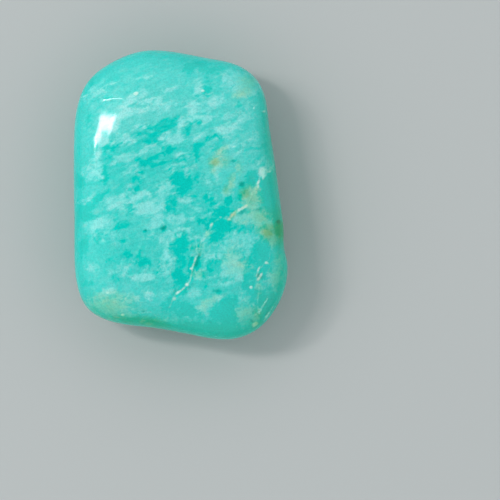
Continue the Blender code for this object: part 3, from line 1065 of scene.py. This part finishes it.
def stone_material():
    material = bpy.data.materials.new("polished_amazonite")
    material.use_nodes = True
    n = NodeTree(material.node_tree)
    shader = n.tree.nodes["Principled BSDF"]
    where = n.add("ShaderNodeTexCoord", {}, "Object")
    place = n.add("ShaderNodeVectorMath", {0: where, 3: 1 / MM}, 0, operation="SCALE")

    grain = n.blend(n.field("blocky"), n.grain(place, *STREAKS), n.grain(place, *BLOCKS))
    lumps = n.grain(place, *LUMPS)
    speckle = n.noise(place, SPECKLE_SCALE, 2, 0.7)
    dust = n.noise(place, DUST_SCALE, 2, 0.8)

    ragged = n.swayed(0.0, grain, GRAIN_RAGGED)
    ragged = n.swayed(ragged, lumps, LUMPS_RAGGED)
    ragged = n.swayed(ragged, speckle, SPECKLE_RAGGED)
    markings = {name: n.field(name) for name in ("milky", "rim", "shade")}
    markings["ragged"] = ragged
    markings["deep"] = n.rise(n.math("SUBTRACT", n.field("deep"), ragged), 0.25, 0.75)
    markings["pale"] = n.rise(n.math("ADD", n.field("pale"), ragged), 0.2, 0.8)
    white = PLAIN_WHITENESS
    for name, strength in WHITENESS.items():
        white = n.plus(white, markings[name], strength)
    colour = n.ramp(white, *STONE_COLOURS)

    side = n.swayed(n.field("crack_side"), speckle, 0.10)
    line = n.rise(n.math("ABSOLUTE", side), 0.02, 0.11, 1.0, 0.0)
    dots = n.rise(n.noise(place, DOTS_SCALE, 2, 0.6), 0.38, 0.6, 0.15, 1.0)
    crack = n.math("MULTIPLY", n.math("MULTIPLY", line, n.field("crack_open")), dots)
    colour = n.mix(n.math("MULTIPLY", crack, CRACK_COVER), colour, CRACK_COLOUR)
    # White beads, and painted glints
    bead_and_glint = n.rise(n.swayed(n.field("bead_and_glint"), lumps, 0.5), 0.2, 0.9)
    colour = n.mix(bead_and_glint, colour, BEAD_AND_GLINT_COLOUR)

    warmth = n.swayed(n.field("warm"), lumps, 0.5)
    colour = n.filtered(1.0, colour, n.ramp(warmth, *STAIN_COLOURS))
    # Painted shade at the rim and on the flanks
    colour = n.filtered(markings["rim"], colour, RIM_SHADE_FILTER)
    # Painted shade on the side away from the window
    colour = n.filtered(markings["shade"], colour, SHADE_FILTER)
    # Dark specks, and painted shadow beside the cracks
    speck_and_crack_shadow = n.swayed(n.field("speck_and_crack_shadow"), speckle, 0.5)
    colour = n.filtered(n.rise(speck_and_crack_shadow, 0.15, 0.9), colour, SPECK_AND_SHADOW_FILTER)
    colour = n.filtered(n.rise(dust, 0.35, 0.75), colour, DUST_FILTER)

    roughness = n.rise(white, 0.1, 0.9, DEEP_ROUGHNESS, WHITE_ROUGHNESS)
    roughness = n.plus(roughness, n.math("MAXIMUM", crack, bead_and_glint), BROKEN_ROUGHNESS)
    fine = {"Height": n.plus(dust, white, 0.5), "Distance": BUMP_HEIGHT * MM, "Strength": 0.5}
    n.tree.links.new(colour, shader.inputs["Base Color"])
    n.tree.links.new(roughness, shader.inputs["Roughness"])
    n.tree.links.new(n.add("ShaderNodeBump", fine, "Normal"), shader.inputs["Normal"])
    shader.inputs["IOR"].default_value = 1.53
    shader.inputs["Specular IOR Level"].default_value = 0.4
    shader.inputs["Subsurface Weight"].default_value = 1.0
    shader.inputs["Subsurface Radius"].default_value = (0.08, 1.0, 0.9)
    shader.inputs["Subsurface Scale"].default_value = 1.2 * MM
    return material


def stone():
    piece = bpy.data.objects.new("polished_stone", stone_mesh())
    piece.data.materials.append(stone_material())
    bpy.context.scene.collection.objects.link(piece)
    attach(piece, "root")
    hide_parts(NODE)


def floor():
    """A plain pale tabletop, its surface at the height the stone rests on."""
    bm = bmesh.new()
    bmesh.ops.create_grid(bm, x_segments=1, y_segments=1, size=FLOOR_HALF_SIZE)
    mesh = bpy.data.meshes.new("floor")
    bm.to_mesh(mesh)
    bm.free()
    material = bpy.data.materials.new("floor")
    material.use_nodes = True
    shader = material.node_tree.nodes["Principled BSDF"]
    shader.inputs["Base Color"].default_value = FLOOR_COLOUR
    shader.inputs["Roughness"].default_value = 0.9
    shader.inputs["Specular IOR Level"].default_value = 0.2
    mesh.materials.append(material)
    table = bpy.data.objects.new("floor", mesh)
    bpy.context.scene.collection.objects.link(table)


def panel_light(name, centre, size, turn, power):
    """A flat light panel that faces down. centre and size are shares of its height above the floor."""
    lamp = bpy.data.lights.new(name, "AREA")
    lamp.shape = "RECTANGLE"
    lamp.size = size[0] * PANEL_HEIGHT
    lamp.size_y = size[1] * PANEL_HEIGHT
    lamp.energy = power
    light = bpy.data.objects.new(name, lamp)
    light.location = (centre[0] * PANEL_HEIGHT, centre[1] * PANEL_HEIGHT, PANEL_HEIGHT)
    light.rotation_euler = (0, 0, math.radians(turn))
    bpy.context.scene.collection.objects.link(light)


def lights():
    """A window in two panes, a lamp on the other side, and walls that are brighter than the ceiling."""
    for name, (centre, size, turn, power) in PANELS.items():
        panel_light(name, centre, size, turn, power)
    world = bpy.data.worlds.new("studio")
    world.use_nodes = True
    n = NodeTree(world.node_tree)
    direction = n.add("ShaderNodeTexCoord", {}, "Generated")
    height = n.add("ShaderNodeSeparateXYZ", {"Vector": direction}, "Z")
    walls = n.rise(height, WALL_TOP, CEILING_EDGE, WALL_STRENGTH, CEILING_STRENGTH)
    vectors = {0: direction, 1: BRIGHT_SIDE}
    side = n.add("ShaderNodeVectorMath", vectors, "Value", operation="DOT_PRODUCT")
    share = n.rise(side, -SIDE_REACH, SIDE_REACH, DIM_SIDE_SHARE, BRIGHT_SIDE_SHARE)
    sky = n.tree.nodes["Background"]
    n.tree.links.new(n.math("MULTIPLY", walls, share), sky.inputs["Strength"])
    sky.inputs["Color"].default_value = ROOM_COLOUR
    bpy.context.scene.world = world


def camera():
    lens = bpy.data.cameras.new("camera")
    lens.sensor_width = SENSOR_WIDTH
    lens.lens = lens.sensor_width * CAMERA_DISTANCE / (FRAME_WIDTH_MM * MM)
    lens.clip_start = 0.01
    view = bpy.data.objects.new("camera", lens)
    x, y = FRAME_CENTRE_MM
    view.location = (x * MM, y * MM, GIRDLE_HEIGHT * MM + CAMERA_DISTANCE)
    bpy.context.scene.collection.objects.link(view)
    bpy.context.scene.camera = view
    bpy.context.scene.view_settings.view_transform = "Standard"


stone()
floor()
lights()
camera()
